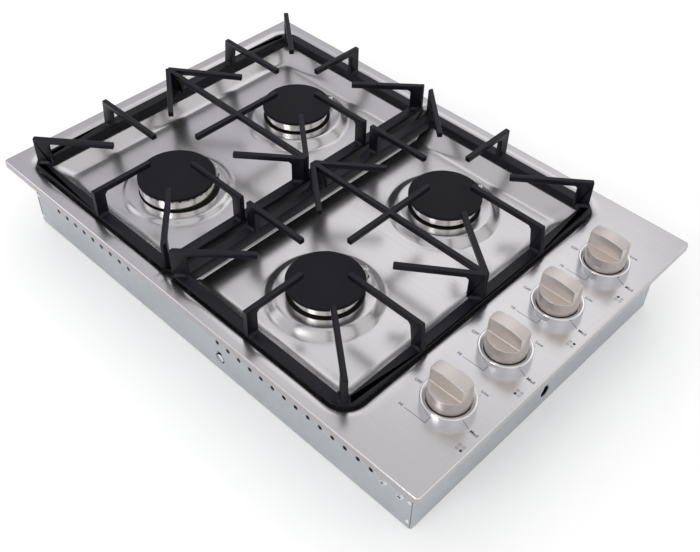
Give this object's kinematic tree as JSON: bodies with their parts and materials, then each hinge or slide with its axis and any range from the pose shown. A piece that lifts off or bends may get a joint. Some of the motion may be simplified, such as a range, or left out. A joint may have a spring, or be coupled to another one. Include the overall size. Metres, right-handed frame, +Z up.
{
  "type": "gas cooktop",
  "caption": "Built-in gas cooktop: pressed stainless top with burners under two cast-iron grates, knobs in a strip on the right, galvanised burner box below.",
  "frame": {"origin": "under the middle of the top plate, at the level of the burner box's underside", "axes": "+X to the user's right, towards the control strip; +Y to the back; +Z up"},
  "size_m": [0.6096, 0.428, 0.1285],
  "materials": {
    "stainless": "fine brushed stainless steel",
    "galvanised": "galvanised sheet",
    "foam": "black closed-cell foam",
    "enamelled_iron": "matt black enamel",
    "foot_rubber": "matt",
    "ring_aluminium": "brushed, lightly heat-toned",
    "cup_casting": "black coated die casting",
    "brass": "machined",
    "ceramic": "white glazed",
    "bright_steel": "zinc plated",
    "valve_alloy": "die cast",
    "tube_aluminium": "drawn tube",
    "knob_nickel": "metallised, satin warm nickel",
    "bezel_chrome": "polished",
    "black_plastic": "moulded nylon",
    "module_plastic": "potted ignition unit",
    "silicone": "silicone insulation",
    "harness_black": "sleeved wires"
  },
  "bodies": {
    "cooktop": {"top_plate": "stainless", "worktop_seal": "foam", "burner_box": "galvanised", "gas_jets": "brass", "electrode_ceramics": "ceramic", "spark_pins": "bright_steel", "valve_rail": "galvanised", "rail_screws": "bright_steel", "manifold_pipe": "bright_steel", "gas_inlet": "brass", "ignition_switches": "black_plastic", "spark_module": "module_plastic", "spark_leads": "silicone", "switch_harness": "harness_black", "cord_gland": "black_plastic", "burner_cup_left_front": "cup_casting", "feed_tube_left_front": "tube_aluminium", "valve_body_left_front": "valve_alloy", "bezel_left_front": "bezel_chrome", "burner_cup_left_back": "cup_casting", "feed_tube_left_back": "tube_aluminium", "valve_body_left_back": "valve_alloy", "bezel_left_back": "bezel_chrome", "burner_cup_right_front": "cup_casting", "feed_tube_right_front": "tube_aluminium", "valve_body_right_front": "valve_alloy", "bezel_right_front": "bezel_chrome", "burner_cup_right_back": "cup_casting", "feed_tube_right_back": "tube_aluminium", "valve_body_right_back": "valve_alloy", "bezel_right_back": "bezel_chrome"},
    "plug_left_front": {"valve_plug_left_front": "brass"},
    "control_left_front": {"knob_left_front": "knob_nickel", "valve_stem_left_front": "bright_steel"},
    "head_left_front": {"flame_ring_left_front": "ring_aluminium"},
    "cap_left_front": {"burner_cap_left_front": "enamelled_iron"},
    "plug_left_back": {"valve_plug_left_back": "brass"},
    "control_left_back": {"knob_left_back": "knob_nickel", "valve_stem_left_back": "bright_steel"},
    "head_left_back": {"flame_ring_left_back": "ring_aluminium"},
    "cap_left_back": {"burner_cap_left_back": "enamelled_iron"},
    "plug_right_front": {"valve_plug_right_front": "brass"},
    "control_right_front": {"knob_right_front": "knob_nickel", "valve_stem_right_front": "bright_steel"},
    "head_right_front": {"flame_ring_right_front": "ring_aluminium"},
    "cap_right_front": {"burner_cap_right_front": "enamelled_iron"},
    "plug_right_back": {"valve_plug_right_back": "brass"},
    "control_right_back": {"knob_right_back": "knob_nickel", "valve_stem_right_back": "bright_steel"},
    "head_right_back": {"flame_ring_right_back": "ring_aluminium"},
    "cap_right_back": {"burner_cap_right_back": "enamelled_iron"},
    "grate_left": {"grate_left": "enamelled_iron", "grate_feet_left": "foot_rubber"},
    "grate_right": {"grate_right": "enamelled_iron", "grate_feet_right": "foot_rubber"}
  },
  "joints": [
    {"name": "turn_left_front", "type": "hinge", "parent": "cooktop", "child": "plug_left_front", "pos_m": [0.2588, -0.0405, 0.0607], "axis": [0, 0, 1], "range_deg": [0, 242]},
    {"name": "push_left_front", "type": "slide", "parent": "plug_left_front", "child": "control_left_front", "axis": [0, 0, -1], "range_m": [0, 0.003], "stiffness_N_per_m": 1500, "springref_m": -0.002},
    {"name": "lift_head_left_front", "type": "slide", "parent": "cooktop", "child": "head_left_front", "axis": [0, 0, 1], "range_m": [0, 0.012]},
    {"name": "lift_cap_left_front", "type": "slide", "parent": "head_left_front", "child": "cap_left_front", "axis": [0, 0, 1], "range_m": [0, 0.012]},
    {"name": "turn_left_back", "type": "hinge", "parent": "cooktop", "child": "plug_left_back", "pos_m": [0.2588, 0.1215, 0.0607], "axis": [0, 0, 1], "range_deg": [0, 242]},
    {"name": "push_left_back", "type": "slide", "parent": "plug_left_back", "child": "control_left_back", "axis": [0, 0, -1], "range_m": [0, 0.003], "stiffness_N_per_m": 1500, "springref_m": -0.002},
    {"name": "lift_head_left_back", "type": "slide", "parent": "cooktop", "child": "head_left_back", "axis": [0, 0, 1], "range_m": [0, 0.012]},
    {"name": "lift_cap_left_back", "type": "slide", "parent": "head_left_back", "child": "cap_left_back", "axis": [0, 0, 1], "range_m": [0, 0.012]},
    {"name": "turn_right_front", "type": "hinge", "parent": "cooktop", "child": "plug_right_front", "pos_m": [0.2588, -0.1215, 0.0607], "axis": [0, 0, 1], "range_deg": [0, 242]},
    {"name": "push_right_front", "type": "slide", "parent": "plug_right_front", "child": "control_right_front", "axis": [0, 0, -1], "range_m": [0, 0.003], "stiffness_N_per_m": 1500, "springref_m": -0.002},
    {"name": "lift_head_right_front", "type": "slide", "parent": "cooktop", "child": "head_right_front", "axis": [0, 0, 1], "range_m": [0, 0.012]},
    {"name": "lift_cap_right_front", "type": "slide", "parent": "head_right_front", "child": "cap_right_front", "axis": [0, 0, 1], "range_m": [0, 0.012]},
    {"name": "turn_right_back", "type": "hinge", "parent": "cooktop", "child": "plug_right_back", "pos_m": [0.2588, 0.0405, 0.0607], "axis": [0, 0, 1], "range_deg": [0, 242]},
    {"name": "push_right_back", "type": "slide", "parent": "plug_right_back", "child": "control_right_back", "axis": [0, 0, -1], "range_m": [0, 0.003], "stiffness_N_per_m": 1500, "springref_m": -0.002},
    {"name": "lift_head_right_back", "type": "slide", "parent": "cooktop", "child": "head_right_back", "axis": [0, 0, 1], "range_m": [0, 0.012]},
    {"name": "lift_cap_right_back", "type": "slide", "parent": "head_right_back", "child": "cap_right_back", "axis": [0, 0, 1], "range_m": [0, 0.012]},
    {"name": "lift_grate_left", "type": "slide", "parent": "cooktop", "child": "grate_left", "axis": [0, 0, 1], "range_m": [0, 0.12]},
    {"name": "lift_grate_right", "type": "slide", "parent": "cooktop", "child": "grate_right", "axis": [0, 0, 1], "range_m": [0, 0.12]}
  ]
}
